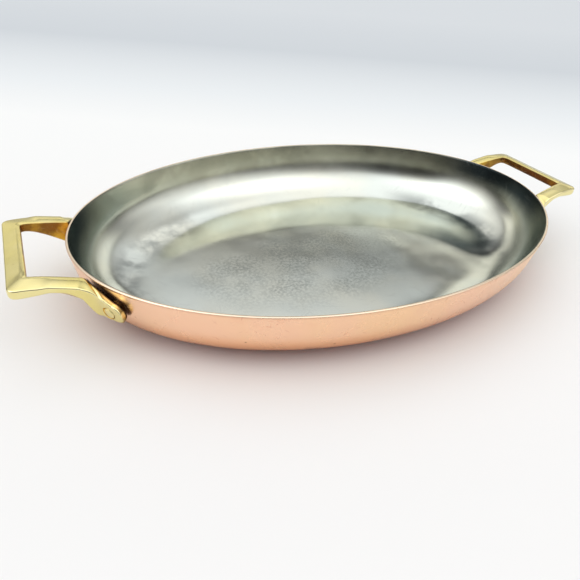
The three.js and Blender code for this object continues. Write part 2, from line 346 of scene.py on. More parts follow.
copper, tree, shader, axes = metal("satin_copper")
color = stain(tree, COPPER, WARM_COPPER, mask(tree, patches, Scale=16, Seed=1))
smudges = mask(tree, patches, Scale=70, Seed=2, Low=0.56, High=0.70, Detail=5)
color = stain(tree, color, SMUDGED_COPPER, smudges, strength=0.35)
scuffed = mask(tree, patches, Scale=40, Seed=3, Low=0.42, High=0.60)
copper_scratches = mask(tree, scratches, Scale=1000, Length=8, Least=0.76)
copper_scratches = product(tree, copper_scratches, scuffed)
color = stain(tree, color, SCRATCHED_COPPER, copper_scratches, strength=0.5)
copper_pits = mask(tree, pits, Scale=80, Size=0.07, Share=0.35)
color = stain(tree, color, PITTED_COPPER, copper_pits, strength=0.85)
# Painted reflection: the lower wall is painted a deeper orange, for the shaded floor seen in the
# copper.
lower_reflection = below(tree, axes["Z"], *LOWER_REFLECTION_HEIGHTS)
color = stain(tree, color, LOWER_REFLECTION_COPPER, lower_reflection, strength=0.9)
# Painted shade: the foot of the wall is painted dark red-brown, for the dark shadow under the pan.
foot_shade = below(tree, axes["Z"], *FOOT_SHADE_HEIGHTS)
color = stain(tree, color, FOOT_SHADE_COPPER, foot_shade, strength=0.95)
# Painted highlight: the top of the rim is painted pale.
rim_highlight = above(tree, axes["Z"], *RIM_HIGHLIGHT_HEIGHTS)
color = stain(tree, color, RIM_HIGHLIGHT_COPPER, rim_highlight, strength=0.7)

# Painted shade: near-black on the copper behind each flange, and round its tip too.
spread = reckon(tree, "ABSOLUTE", axes["Y"])
along_gap = add_node(tree, "MapRange", _0=spread, _1=GAP_START[1], _2=GAP_END[0]).outputs[0]
fallen = product(tree, reckon(tree, "POWER", along_gap, FLANGE_FALL_POWER), GAP_FALL)
under_top = reckon(tree, "SUBTRACT", GAP_TOP, reckon(tree, "ADD", fallen, axes["Z"]))
in_gap = product(
    tree,
    above(tree, under_top, *GAP_TOP_EDGE),
    above(tree, axes["Z"], *GAP_FOOT),
    above(tree, spread, *GAP_START),
    below(tree, spread, *GAP_END),
)
tip_y = product(tree, reckon(tree, "SUBTRACT", spread, GAP_END[0]), 1 / TIP_SLANT)
tip_z = reckon(tree, "SUBTRACT", axes["Z"], TIP_HEIGHT)
from_tip = add_node(tree, "CombineXYZ", _0=tip_y, _1=tip_z).outputs[0]
tip_way = add_node(tree, "VectorMath", "LENGTH", _0=from_tip).outputs["Value"]
in_gap = reckon(tree, "MAXIMUM", in_gap, below(tree, tip_way, *TIP_REACH))
at_ends = above(tree, reckon(tree, "ABSOLUTE", axes["X"]), *PAN_ENDS)
color = stain(tree, color, GAP_SHADE, in_gap, at_ends, strength=0.97)

satin = mask(tree, patches, Scale=35, Seed=4, Low=0.35, High=0.65)
roughness = between(tree, satin, 0, 1, *COPPER_ROUGHNESS)
scratch_roughness = product(tree, copper_scratches, COPPER_SCRATCH_ROUGHNESS)
finish(tree, shader, color, reckon(tree, "ADD", roughness, scratch_roughness))
dent(tree, shader, product(tree, copper_scratches, -1), COPPER_SCRATCH_DEPTH)

copper_profile = np.concatenate(
    [
        wall_section(0, RIM_ROUNDING),
        rim_corner(0, 1, RIM_ROUNDING),
        wall_section(COPPER_THICKNESS)[::-1],
    ]
)
pan_body = oval_skin("pan_body", copper_profile)
pan_body.data.materials.append(copper)
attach(pan_body, "root")
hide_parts("copper_shell")

# The lining: a skin of stainless steel 0.3 mm thick, rolled onto the copper before the dish was
# pressed, so it follows the copper everywhere and ends with it at the rim. Use and the oven have
# worn its floor dull and tinted its wall. Painted reflection and painted shade darken the wall
# towards the rim and at the two ends.
STEEL_THICKNESS = 0.0003
INNER_DEPTH = COPPER_THICKNESS + STEEL_THICKNESS
LINING_ROUNDING = 0.0002

STEEL = (0.735, 0.78, 0.735)
CREAMY_STEEL = (0.785, 0.795, 0.705)
STEEL_AT_A_SLANT = (0.62, 0.66, 0.68, 1)
STRAW_AND_REFLECTION_STEEL = (0.70, 0.69, 0.56)
SMOKE_AND_REFLECTION_STEEL = (0.38, 0.38, 0.31)
END_SHADE_STEEL = (0.016, 0.026, 0.032)
DULL_STEEL = (0.29, 0.315, 0.295)
STAINED_STEEL = (0.24, 0.26, 0.25)
SCRATCHED_STEEL = (0.40, 0.42, 0.41)
FLOOR_HEIGHTS = (0.0035, 0.009)
STRAW_AND_REFLECTION_HEIGHTS = (0.012, 0.034)
END_SHADE_HEIGHTS = (0.013, 0.032)
SHADED_ENDS = (0.112, 0.146)
END_SHADE_LEAST = 0.8
WORN_SCALE = (12, 21, 0)  # a place times this, and plus the shift, lies so far from the middle of
WORN_SHIFT = (0.15, 0.1, 0)  # the worn oval, and its wear dies away over the reach
WORN_REACH = (0.5, 1.1)
SPECKLE_LEAST = 0.1
FOOT_HEIGHTS = (0.0013, 0.0022)
LEFT_FOOT = (-0.080, -0.050)
RIGHT_FOOT = (0.085, 0.11)
STEEL_ROUGHNESS = (0.18, 0.21)
FLOOR_POLISH = 0.07
WORN_ROUGHNESS = 0.04
WAVE_HEIGHT = 0.00016

steel, tree, shader, axes = metal("worn_steel")
shader.inputs["Specular Tint"].default_value = STEEL_AT_A_SLANT
on_floor = below(tree, axes["Z"], *FLOOR_HEIGHTS)
creamy = mask(tree, patches, Scale=15, Seed=11, Low=0.38, High=0.62)
color = stain(tree, STEEL, CREAMY_STEEL, creamy)

# Heat has tinted the wall straw and smoke towards the rim, and in part these are a painted reflection
# of the warm, dim room. Painted shade makes the two ends near-black and blue.
high = above(tree, axes["Z"], *STRAW_AND_REFLECTION_HEIGHTS)
color = stain(tree, color, STRAW_AND_REFLECTION_STEEL, high, strength=0.9)
smoke_and_reflection = mask(tree, patches, Scale=26, Seed=18, Low=0.42, High=0.60, Detail=4)
color = stain(tree, color, SMOKE_AND_REFLECTION_STEEL, smoke_and_reflection, high, strength=0.75)
# Painted shade: the two ends of the wall are painted near-black and blue.
end_way = reckon(tree, "ABSOLUTE", axes["X"])
end_shade_clouds = mask(tree, patches, Scale=24, Seed=17, Low=0.2, High=0.6, Detail=2)
end_shade = product(
    tree,
    above(tree, end_way, *SHADED_ENDS),
    above(tree, axes["Z"], *END_SHADE_HEIGHTS),
    between(tree, end_shade_clouds, 0, 1, END_SHADE_LEAST, 1),
)
color = stain(tree, color, END_SHADE_STEEL, end_shade, strength=0.97)

# The middle of the floor is dull and finely speckled, and stains lie at the foot of the cove.
place = add_node(tree, "TexCoord").outputs["Object"]
oval = add_node(tree, "Mapping", Vector=place, Location=WORN_SHIFT, Scale=WORN_SCALE).outputs[0]
off_middle = add_node(tree, "VectorMath", "LENGTH", _0=oval).outputs["Value"]
dull = mask(tree, patches, Scale=34, Seed=22, Low=0.30, High=0.58, Detail=6)
speckle = mask(tree, patches, Scale=560, Seed=13, Low=0.30, High=0.68, Detail=4)
worn = product(
    tree,
    dull,
    below(tree, off_middle, *WORN_REACH),
    between(tree, speckle, 0, 1, SPECKLE_LEAST, 1),
    on_floor,
)
color = stain(tree, color, DULL_STEEL, worn, strength=0.6)
foot_stains = mask(tree, patches, Scale=42, Seed=14, Low=0.42, High=0.60, Detail=5)
at_left = below(tree, axes["X"], *LEFT_FOOT)
at_right = above(tree, axes["X"], *RIGHT_FOOT)
foot_stains = product(
    tree,
    above(tree, axes["Z"], *FOOT_HEIGHTS),
    on_floor,
    foot_stains,
    reckon(tree, "MAXIMUM", at_left, at_right),
)
color = stain(tree, color, STAINED_STEEL, foot_stains, strength=0.75)
steel_scratches = mask(tree, scratches, Scale=900, Length=16, Least=0.75)
color = stain(tree, color, SCRATCHED_STEEL, steel_scratches, strength=0.18)

brushed = mask(tree, patches, Scale=40, Seed=15, Low=0.35, High=0.65, Detail=4)
roughness = between(tree, brushed, 0, 1, *STEEL_ROUGHNESS)
roughness = reckon(tree, "SUBTRACT", roughness, product(tree, on_floor, FLOOR_POLISH))
roughness = reckon(tree, "ADD", roughness, product(tree, worn, WORN_ROUGHNESS))
finish(tree, shader, color, roughness)
waves = mask(tree, patches, Scale=26, Seed=16, Low=0.2, High=0.8, Detail=1)
dent(tree, shader, waves, WAVE_HEIGHT)

steel_profile = np.concatenate(
    [
        wall_section(COPPER_THICKNESS),
        rim_corner(INNER_DEPTH, -1, LINING_ROUNDING)[::-1],
        wall_section(INNER_DEPTH, LINING_ROUNDING)[::-1],
    ]
)
lining = oval_skin("lining", steel_profile)
lining.data.materials.append(steel)
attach(lining, "root")
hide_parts("steel_lining")

# The two handles: brass, cast in one piece each and polished. A flat grip bar with a low ridge along
# it turns into two arms, which deepen into gussets and end in flanges along the copper wall. Each
# flange is drilled and countersunk for its rivet.
HANDLE_REACH = 0.028  # from the end of the rim to the outer edge of the grip bar
BAR_WIDTH = 0.0088
BAR_DEPTH = 0.005
BAR_INNER_DEPTH = 0.0048
BAR_RISE = 0.003  # inner edge of the bar's top face above the rim
BAR_TILT = 0.001  # how much lower its outer edge is
ARM_TILT = 0.0004
CROWN_HEIGHT = 0.00078
CROWN_POWER = 3
RIDGE_SHARE = 0.22  # where the ridge lies across the top face, from the finger opening
RIDGE_SOFTNESS = 10
RIDGE_RUN = (0.028, 0.048)  # the ridge dies away here, along the casting from the bar's middle
LOOP_WIDTH = 0.052
ARM_WIDTH = 0.0089
ARM_DROP = 0.0048
ARM_FALL_POWER = 1.2
WAIST_DEPTH = 0.0037
GUSSET_POWER = 1.8
INNER_BEND_SPREAD = 0.0572
OUTER_BEND_SPREAD = 0.0725
TIP_SPREAD = 0.0985
FLANGE_DROP = 0.006
FLANGE_FOOT = 0.019
FOOT_LEVEL = PAN_DEPTH - FLANGE_FOOT
ROOT_THICKNESS = 0.0043
TIP_THICKNESS = 0.0031
FLANGE_STAND_OFF = 0.0011
TIP_RADIUS = 0.005
TIP_LEVEL = 0.0056
TIP_TURN = math.radians(87)
INNER_CORNER_EASE = 0.0018
OUTER_CORNER_EASE = 0.004
INNER_BEND_EASE = 0.0015
OUTER_BEND_EASE = 0.005
INNER_EDGE_RADIUS = 0.0005
OUTER_EDGE_RADIUS = 0.0008
LOWER_EDGE_RADIUS = 0.0017
OUTER_BAR_X = RIM_LENGTH / 2 + HANDLE_REACH

# The stretch counts along the casting: 0 is the bar, 1 its corner, 2 the root of the flange and 3 the
# start of its round end.
TOP_SOFTENING = 0.2
LEAN_START = 1.25
WAIST_END = 1.45
FOOT_START = 1.6
BEND_STRETCH = 1.85
FOOT_END = 2.3

BAR_STEPS = 12
CORNER_STEPS = 10
ARM_STEPS = 30
BEND_STEPS = 14
FLANGE_STEPS = 18
TIP_STEPS = 12
TOP_STEPS = 17
SIDE_STEPS = 9
UNDER_STEPS = 7
EDGE_POINTS = 7
OUTER_EDGE_POINTS = 8
SOFTENING_POINTS = 9
CREASE_ANGLE = math.radians(38)

BRASS = (0.875, 0.775, 0.37)
GOLDEN_BRASS = (0.83, 0.72, 0.29)
HIGHLIGHT_BRASS = (0.95, 0.87, 0.56)
SCRATCHED_BRASS = (0.95, 0.86, 0.55)
PITTED_BRASS = (0.42, 0.25, 0.06)
TARNISHED_BRASS = (0.74, 0.44, 0.04)
BROWN_BRASS = (0.24, 0.09, 0.006)
RED_BRASS = (0.10, 0.018, 0.005)
TARNISH_SPAN = (0.05, 0.9)
RED_BAR = (0.150, 0.164)
RED_LEAST = 0.75
BRASS_ROUGHNESS = (0.15, 0.21)
RUBBED_POLISH = 0.08
TARNISH_ROUGHNESS = 0.2
CASTING_GRAIN = 0.00008
GAP_SHADE_FADE = (0.0016, 0.0024)

RIVET_SPREAD = 0.0854  # across the pan, between the two rivets of a handle, on the rim line
RIVET_LEVEL = 0.53  # share of the flange's height, from its top face down
RIVET_RADIUS = 0.0024
RIVET_HEAD_RADIUS = 0.0031
RIVET_HEAD_DEPTH = 0.0009
RIVET_CLEARANCE = 0.00025
SINK_BREAK = 0.0003  # the broken edge of the countersink
SINK_DEPTH = 0.00035
SINK_OVERSHOOT = 0.0001
DRILL_OVERSHOOT = 0.002
DRILL_POINT = 0.0001
TURNED_STEPS = 64


def ease(value, low, high):
    """0 below low, 1 above high, and 3t^2 - 2t^3 between them."""
    t = np.clip((value - low) / (high - low), 0, 1)
    return t * t * (3 - 2 * t)


def spread_angle(spread):
    """The rim's angle where the ellipse is this wide across the pan."""
    return math.asin(spread / RIM_WIDTH)


def step_angle(angle, distance):
    """The angle a short distance further along the rim's ellipse."""
    speed = np.hypot(RIM_LENGTH / 2 * np.sin(angle), RIM_WIDTH / 2 * np.cos(angle))
    return angle + distance / speed


ROOT_ANGLE = spread_angle(INNER_BEND_SPREAD)
TIP_ANGLE = step_angle(spread_angle(TIP_SPREAD), -TIP_RADIUS)
OUTER_FALL_START = 1 + BAR_WIDTH / (OUTER_BAR_X - rim_point(ROOT_ANGLE)[0][0])


def flange_stretch(angle):
    """The stretch on the flange, which grows evenly with the rim's angle."""
    return 2 + (angle - ROOT_ANGLE) / (TIP_ANGLE - ROOT_ANGLE)


def top_height(stretch, fall_start):
    """Height of the top face: level along the bar, down to the wall along the arm with the power 1.2
    of the way, and further down along the flange with the power 1.5."""
    arm_way = np.clip((stretch - fall_start) / (2 - fall_start), 0, 1)
    arm_fall = ARM_DROP * arm_way**ARM_FALL_POWER
    flange_fall = FLANGE_DROP * np.maximum(stretch - 2, 0) ** FLANGE_FALL_POWER
    return PAN_DEPTH + BAR_RISE - arm_fall - flange_fall


def soft_top(stretch, fall_start):
    """The same height, averaged over a short stretch each way, which rounds off its breaks."""
    offsets = np.linspace(-TOP_SOFTENING, TOP_SOFTENING, SOFTENING_POINTS)
    return sum(top_height(stretch + offset, fall_start) for offset in offsets) / len(offsets)


def inner_top(stretch):
    """Height of the inner edge of the top face, which falls from the bar's corner on."""
    return soft_top(stretch, 1)


def outer_top(stretch):
    """Height of its outer edge, which starts to fall later and lies lower by the tilt."""
    tilt = mix(BAR_TILT, ARM_TILT, ease(stretch, OUTER_FALL_START, WAIST_END))
    return soft_top(stretch, OUTER_FALL_START) - tilt


def outer_depth(stretch):
    """Depth of the outer side face: waisted along the arm, then down to the foot of the flange."""
    waist = mix(BAR_DEPTH, WAIST_DEPTH, ease(stretch, 1, WAIST_END))
    return mix(waist, outer_top(stretch) - FOOT_LEVEL, ease(stretch, FOOT_START, FOOT_END))


def inner_depth(stretch):
    """Depth of the inner side face, which grows into the gusset with the power 1.8 of the way."""
    share = np.clip(stretch - 1, 0, 1) ** GUSSET_POWER
    return mix(BAR_INNER_DEPTH, inner_top(stretch) - FOOT_LEVEL, share)


def seat_clear(stretch):
    """Distance of the flange's inner face from the wall, the same all along."""
    return np.full(len(stretch), FLANGE_STAND_OFF)


def face_clear(stretch):
    """Distance of the flange's outer face from the wall, smaller towards the tip."""
    return FLANGE_STAND_OFF + mix(ROOT_THICKNESS, TIP_THICKNESS, np.clip(stretch - 2, 0, 1))


def edge_run(bar_x, spread, bend_spread, corner_ease, bend_ease, clear_at, top_at, depth_at):
    """Half of one edge of the casting's top face, from the middle of the bar to the end of the
    flange, as rows of plan x, plan y, lean x, lean y, height of the top face, depth of the side face
    and turn of the round end. Straights are evenly divided, both corners are quadratic Bezier curves,
    and the flange follows the ellipse of the rim at its distance from the wall."""

    def lean_at(angle):
        # The wall's lean: how far a point moves in plan for each metre that it goes down.
        return -rim_point(angle)[1] * math.tan(WALL_FLARE)

    def on_flange(angle, turn):
        # A place on the flange, square out from the rim's ellipse at the angle.
        stretch = np.minimum(flange_stretch(angle), 3)
        point, square = rim_point(angle)
        out = wall_out(top_at(stretch), clear_at(stretch))
        return point + out[:, None] * square, lean_at(angle), stretch, turn

    def bezier(start, corner, end, steps):
        # (1-t)^2 of the start, 2t(1-t) of the corner and t^2 of the end.
        t = np.linspace(0, 1, steps + 1)[:, None]
        return (1 - t) ** 2 * start + 2 * t * (1 - t) * corner + t**2 * end

    def eased(corner, end, distance):
        # The point at a distance from a corner, on the way to an end.
        return corner + (end - corner) * distance / np.linalg.norm(end - corner)

    def on_arm(plan, stretch):
        # A place on the bar or the arm, which takes on the wall's lean towards the bend.
        lean = lean_at(bend_angle) * ease(stretch, LEAN_START, BEND_STRETCH)[:, None]
        return plan, lean, stretch, np.zeros(len(stretch))

    bend_angle = spread_angle(bend_spread)
    flange_angle = step_angle(bend_angle, bend_ease)
    middle = np.array([bar_x, 0])
    corner = np.array([bar_x, spread / 2])
    bend = on_flange(np.array([bend_angle]), 0)[0][0]
    flange_start = on_flange(np.array([flange_angle]), 0)[0][0]
    bar_end = eased(corner, middle, corner_ease)
    arm_start = eased(corner, bend, corner_ease)
    arm_end = eased(bend, corner, bend_ease)

    bar_share = np.linspace(0, 1, BAR_STEPS + 1)[:-1]
    arm_share = np.linspace(0, 1, ARM_STEPS + 1)[1:-1]
    bend_share = np.linspace(0, 1, BEND_STEPS + 1)
    flange_angles = np.linspace(flange_angle, TIP_ANGLE, FLANGE_STEPS + 1)[1:]
    tip_turn = np.linspace(0, TIP_TURN, TIP_STEPS + 1)[1:]
    tip_angles = step_angle(TIP_ANGLE, TIP_RADIUS * np.sin(tip_turn))
    bend_curve = bezier(arm_end, bend, flange_start, BEND_STEPS)
    bend_lean = lean_at(mix(bend_angle, flange_angle, bend_share))
    bend_stretch = mix(BEND_STRETCH, flange_stretch(flange_angle), bend_share)
    parts = [
        on_arm(mix(middle, bar_end, bar_share[:, None]), np.zeros(len(bar_share))),
        on_arm(bezier(bar_end, corner, arm_start, CORNER_STEPS), np.ones(CORNER_STEPS + 1)),
        on_arm(mix(arm_start, arm_end, arm_share[:, None]), mix(1, BEND_STRETCH, arm_share)),
        (bend_curve, bend_lean, bend_stretch, np.zeros(len(bend_share))),
        on_flange(flange_angles, np.zeros(len(flange_angles))),
        on_flange(tip_angles, tip_turn),
    ]
    plan, lean, stretch, turn = (np.concatenate(rows) for rows in zip(*parts))
    return np.column_stack([plan, lean, top_at(stretch), depth_at(stretch), turn])


def crown_shape(share, ridged):
    """Height of the top face across its width, as a share of the crown. The arms carry an even round,
    4s(1-s). The bar carries a ridge: two slopes that meet at RIDGE_SHARE, rounded into each other by
    the soft minimum -log(exp(-ka) + exp(-kb)) / k."""
    rising = np.exp(-RIDGE_SOFTNESS * share / RIDGE_SHARE)
    falling = np.exp(-RIDGE_SOFTNESS * (1 - share) / (1 - RIDGE_SHARE))
    ridge = -np.log(rising + falling) / RIDGE_SOFTNESS
    return mix(4 * share * (1 - share), ridge, ridged)


def section_table():
    """One section of the casting, as columns with a row for each of its points: how far across the
    top face and how far below it the point lies, the first as a length and a share of the width, the
    second as a length and shares of the outer depth, the inner depth and the crown, then how dark
    the point is tarnished and how much it is rubbed and painted with a highlight. Four edges are
    quarter rounds, r cos and r sin of the turn, with straight faces between them."""

    def arc(across, below, radius, quarter, points, dark):
        # A quarter round about a centre, with the tarnish at its two ends. Only the outer upper
        # edge, the quarter 1, is rubbed, and it carries a painted highlight.
        turn = (quarter - np.linspace(0, 1, points)) * np.pi / 2
        rows = np.zeros((points, 8))
        rows[:, :2] = across
        rows[:, 2:6] = below
        rows[:, 0] += radius * np.cos(turn)
        rows[:, 2] -= radius * np.sin(turn)
        rows[:, 6] = np.linspace(*dark, points)
        rows[:, 7] = np.sin(np.linspace(0, np.pi, points)) * (quarter == 1)
        return rows

    def face(start, end, steps):
        # The points between two edges, evenly spaced.
        return mix(start[-1:], end[:1], np.linspace(0, 1, steps + 1)[1:-1, None])

    fine, wide, lower = INNER_EDGE_RADIUS, OUTER_EDGE_RADIUS, LOWER_EDGE_RADIUS
    inner_upper = arc([fine, 0], [fine, 0, 0, 1], fine, 2, EDGE_POINTS, (1, 0.15))
    outer_upper = arc([-wide, 1], [wide, 0, 0, 1], wide, 1, OUTER_EDGE_POINTS, (0, 0))
    outer_lower = arc([-lower, 1], [-lower, 1, 0, 0], lower, 0, EDGE_POINTS, (0, 0.4))
    inner_lower = arc([lower, 0], [-lower, 0, 1, 0], lower, -1, EDGE_POINTS, (0.7, 1))
    top = [inner_upper, face(inner_upper, outer_upper, TOP_STEPS), outer_upper]
    rest = [
        face(outer_upper, outer_lower, SIDE_STEPS),
        outer_lower,
        face(outer_lower, inner_lower, UNDER_STEPS),
        inner_lower,
        face(inner_lower, inner_upper, SIDE_STEPS),
    ]
    table = np.concatenate(top + rest)
    table[sum(map(len, top)) :, 5] = 0  # only the top face and its edges are crowned
    return table.T


def handle_rings(inner, outer):
    """The casting's sections between the two edges, how dark each of their points is tarnished, how
    much it is rubbed bright and painted with a highlight, and how dark it is with painted shade,
    which lies near the copper. The top face is raised by the crown. The round end closes on one level
    with the cosine of its turn.
    The gap to the copper is that to the oval of the wall at the point's height, f(x, y) = 1, as
    (f - 1) over the length of f's gradient."""
    width = np.linalg.norm(outer[:, :2] - inner[:, :2], axis=1)[:, None]
    middle = (outer[:, :2] + inner[:, :2]) / 2
    run = np.append(0, np.cumsum(np.linalg.norm(np.diff(middle, axis=0), axis=1)))[:, None]
    ridged = 1 - ease(run, *RIDGE_RUN)
    crown = CROWN_HEIGHT * np.minimum(1, width / BAR_WIDTH) ** CROWN_POWER

    aside, by_width, down, by_outer, by_inner, crowned, tarnish, rubbed = section_table()
    across = aside + by_width * width
    below_top = down + by_outer * outer[:, 5:6] + by_inner * inner[:, 5:6]
    share = across / width
    below_top = below_top - crowned * crown * crown_shape(np.clip(share, 0, 1), ridged)
    depth = mix(TIP_LEVEL, below_top, np.cos(inner[:, 6:7]))
    edges = mix(inner[:, None, :5], outer[:, None, :5], share[..., None])
    plan = edges[..., :2] + edges[..., 2:4] * depth[..., None]
    rings = np.concatenate([plan, (edges[..., 4] - depth)[..., None]], -1)

    wall = wall_out(rings[..., 2], 0)
    half = np.stack([RIM_LENGTH / 2 + wall, RIM_WIDTH / 2 + wall], -1)
    oval = np.linalg.norm(rings[..., :2] / half, axis=-1)
    gap = (oval - 1) * oval / np.linalg.norm(rings[..., :2] / half**2, axis=-1)
    wear_and_highlight = [np.broadcast_to(marks, across.shape) for marks in (tarnish, rubbed)]
    return rings, *wear_and_highlight, 1 - ease(gap, *GAP_SHADE_FADE)


def unrolled(rings):
    """The rings laid flat: the mean distance along the run of the casting, and the distance round
    each section."""
    steps = np.linalg.norm(np.diff(rings, axis=0), axis=-1).mean(1)
    run = np.append(0, np.cumsum(steps))
    round_steps = np.linalg.norm(np.diff(rings, axis=1), axis=-1)
    around = np.concatenate([np.zeros((len(rings), 1)), np.cumsum(round_steps, 1)], 1)
    return np.stack([np.broadcast_to(run[:, None], around.shape), around], -1)


inner_edge = edge_run(
    OUTER_BAR_X - BAR_WIDTH,
    LOOP_WIDTH,
    INNER_BEND_SPREAD,
    INNER_CORNER_EASE,
    INNER_BEND_EASE,
    seat_clear,
    inner_top,
    inner_depth,
)
outer_edge = edge_run(
    OUTER_BAR_X,
    LOOP_WIDTH + 2 * ARM_WIDTH,
    OUTER_BEND_SPREAD,
    OUTER_CORNER_EASE,
    OUTER_BEND_EASE,
    face_clear,
    outer_top,
    outer_depth,
)
back_half, *back_marks_and_light = handle_rings(inner_edge, outer_edge)
front_half = (back_half * [1, -1, 1])[:0:-1]
casting = np.concatenate([front_half, back_half])
marks_and_light = {
    name: np.concatenate([values[:0:-1], values])
    for name, values in zip(("tarnish", "rubbed", "grime"), back_marks_and_light)
}


def casting_mark(tree, name):
    """One of the casting's marks, of wear and of painted light, as a mask."""
    attribute = add_node(tree, "Attribute")
    attribute.attribute_name = name
    return attribute.outputs["Fac"]


# Polished brass on the faces that a hand or a cloth reaches, with a painted highlight on the outer
# top edge, brown and rough from the casting on the others, red-brown inside the right loop, and
# painted shade, near-black, next to the copper.
brass, tree, shader, axes = metal("cast_brass")
golden = mask(tree, patches, Scale=40, Seed=21, Low=0.4, High=0.6)
color = stain(tree, BRASS, GOLDEN_BRASS, golden)
brass_pits = mask(tree, pits, Scale=260, Size=0.22, Share=0.3)
pitted = mask(tree, patches, Scale=55, Seed=22, Low=0.52, High=0.66)
color = stain(tree, color, PITTED_BRASS, brass_pits, pitted, strength=0.8)
# Painted highlight: the outer upper edge is painted paler, and its roughness also drops with the
# polish.
rubbed = casting_mark(tree, "rubbed")
color = stain(tree, color, HIGHLIGHT_BRASS, rubbed, strength=0.6)
tarnish = above(tree, casting_mark(tree, "tarnish"), *TARNISH_SPAN)
cast_stains = mask(tree, patches, Scale=90, Seed=23, Low=0.40, High=0.62, Detail=5)
dark = stain(tree, TARNISHED_BRASS, BROWN_BRASS, cast_stains)
on_right_bar = above(tree, axes["X"], *RED_BAR)
red_stains = between(tree, cast_stains, 0, 1, RED_LEAST, 1)
dark = stain(tree, dark, RED_BRASS, on_right_bar, red_stains)
color = stain(tree, color, dark, tarnish, strength=0.92)
# Painted shade: near-black where the casting lies close to the copper.
color = stain(tree, color, GAP_SHADE, casting_mark(tree, "grime"), strength=0.97)
brass_scratches = mask(tree, scratches, Scale=1800, Length=12, Least=0.74)
color = stain(tree, color, SCRATCHED_BRASS, brass_scratches, strength=0.2)

shine = mask(tree, patches, Scale=70, Seed=24, Low=0.35, High=0.65)
roughness = between(tree, shine, 0, 1, *BRASS_ROUGHNESS)
roughness = reckon(tree, "SUBTRACT", roughness, product(tree, rubbed, RUBBED_POLISH))
roughness = reckon(tree, "ADD", roughness, product(tree, tarnish, TARNISH_ROUGHNESS))
finish(tree, shader, color, roughness)
grain = mask(tree, patches, Scale=500, Seed=25, Low=0.2, High=0.8, Detail=2)
dent(tree, shader, product(tree, grain, tarnish), CASTING_GRAIN)

# Where the rivets go: on the wall's slope, in the back right corner of the pan, square to the copper.
rivet_angle = spread_angle(RIVET_SPREAD)
rivet_stretch = flange_stretch(rivet_angle)
flange_face = float(face_clear(rivet_stretch))
head_bottom = flange_face - RIVET_HEAD_DEPTH
rivet_height = mix(float(inner_top(rivet_stretch)), FOOT_LEVEL, RIVET_LEVEL)
rim_place, rim_square = rim_point(np.array(rivet_angle))
rivet_place = np.append(rim_place + wall_out(rivet_height, 0) * rim_square, rivet_height)
rivet_axis = np.append(rim_square * math.cos(WALL_FLARE), -math.sin(WALL_FLARE))


def spun(name, profile, sign_x, sign_y):
    """A closed turned form: a profile of radii and heights, spun round the rivet's axis, which stands
    square on the copper at the rivet's place, as place + radius * spoke + height * axis. The signs
    choose one of the four corners of the pan."""
    signs = np.array([sign_x, sign_y, 1])
    axis = rivet_axis * signs
    across = np.cross([0, 0, 1], axis)
    across /= np.linalg.norm(across)
    aside = np.cross(axis, across)
    angle = np.arange(TURNED_STEPS) * 2 * np.pi / TURNED_STEPS
    spoke = np.cos(angle)[:, None] * across + np.sin(angle)[:, None] * aside
    radius, height = np.array(profile).T[:, :, None, None]
    flat = radius * np.stack([np.cos(angle), np.sin(angle)], -1)
    return ring_mesh(name, rivet_place * signs + radius * spoke + height * axis, flat)


def mark(mesh, name, values):
    """Gives a mesh a number at each corner of its faces, from one value for each point."""
    layer = mesh.attributes.new(name, "FLOAT", "CORNER")
    layer.data.foreach_set("value", values[corner_points(mesh)].astype(np.float32))


hole_radius = RIVET_RADIUS + RIVET_CLEARANCE
sink_radius = RIVET_HEAD_RADIUS + RIVET_CLEARANCE
drill_profile = [
    (DRILL_POINT, FLANGE_STAND_OFF - DRILL_OVERSHOOT),
    (hole_radius, FLANGE_STAND_OFF - DRILL_OVERSHOOT),
    (hole_radius, head_bottom),
    (sink_radius, flange_face - SINK_DEPTH),
    (sink_radius + SINK_BREAK, flange_face + SINK_OVERSHOOT),
    (sink_radius + SINK_BREAK, flange_face + DRILL_OVERSHOOT),
    (DRILL_POINT, flange_face + DRILL_OVERSHOOT),
]


def drill_holes(grip, sign_x):
    """Cuts the two rivet holes of a handle, whose walls are tarnished, not rubbed, with no painted
    highlight and no painted shade.
    """
    for sign_y in (-1, 1):
        drill = spun("drill", drill_profile, sign_x, sign_y)
        for name in marks_and_light:
            amount = 1.0 if name == "tarnish" else 0.0
            mark(drill.data, name, np.full(len(drill.data.vertices), amount))
        cut = grip.modifiers.new("hole", "BOOLEAN")
        cut.operation = "DIFFERENCE"
        cut.solver = "EXACT"
        cut.object = drill
        whole = grip.evaluated_get(bpy.context.evaluated_depsgraph_get())
        grip.data = bpy.data.meshes.new_from_object(whole)
        grip.modifiers.clear()
        bpy.data.objects.remove(drill)
    grip.data.set_sharp_from_angle(angle=CREASE_ANGLE)


for side, sign_x, node in (("right", 1, "right_handle"), ("left", -1, "left_handle")):
    grip = ring_mesh(side + "_grip", casting * [sign_x, sign_x, 1], unrolled(casting))
    for name, values in marks_and_light.items():
        mark(grip.data, name, np.append(values.ravel(), values[[0, -1]].mean(1)))
    grip.data.materials.append(brass)
    drill_holes(grip, sign_x)
    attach(grip, "root")
    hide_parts(node)

# The four rivets: brass, turned, one through each flange. The foot is bonded to the outside of the
# copper, so that nothing shows in the pan, and holds the flange off it. The head is peened into the
# countersink and polished nearly flush, with a fine groove left round it.
RIVET_FOOT_RADIUS = 0.0042
RIVET_DOME = 0.00025
RIVET_BREAK = 0.0001
HEAD_ROUNDING = 0.0003
HEAD_POINTS = 6
DOME_POINTS = 8
DOME_SHARES = (0.9, 0.02)
SEAT_GAP = 0.0003
GOLDEN_RIVET = (0.83, 0.71, 0.31)
SCRATCHED_RIVET = (0.55, 0.40, 0.12)
RIVET_ROUGHNESS = (0.16, 0.24)

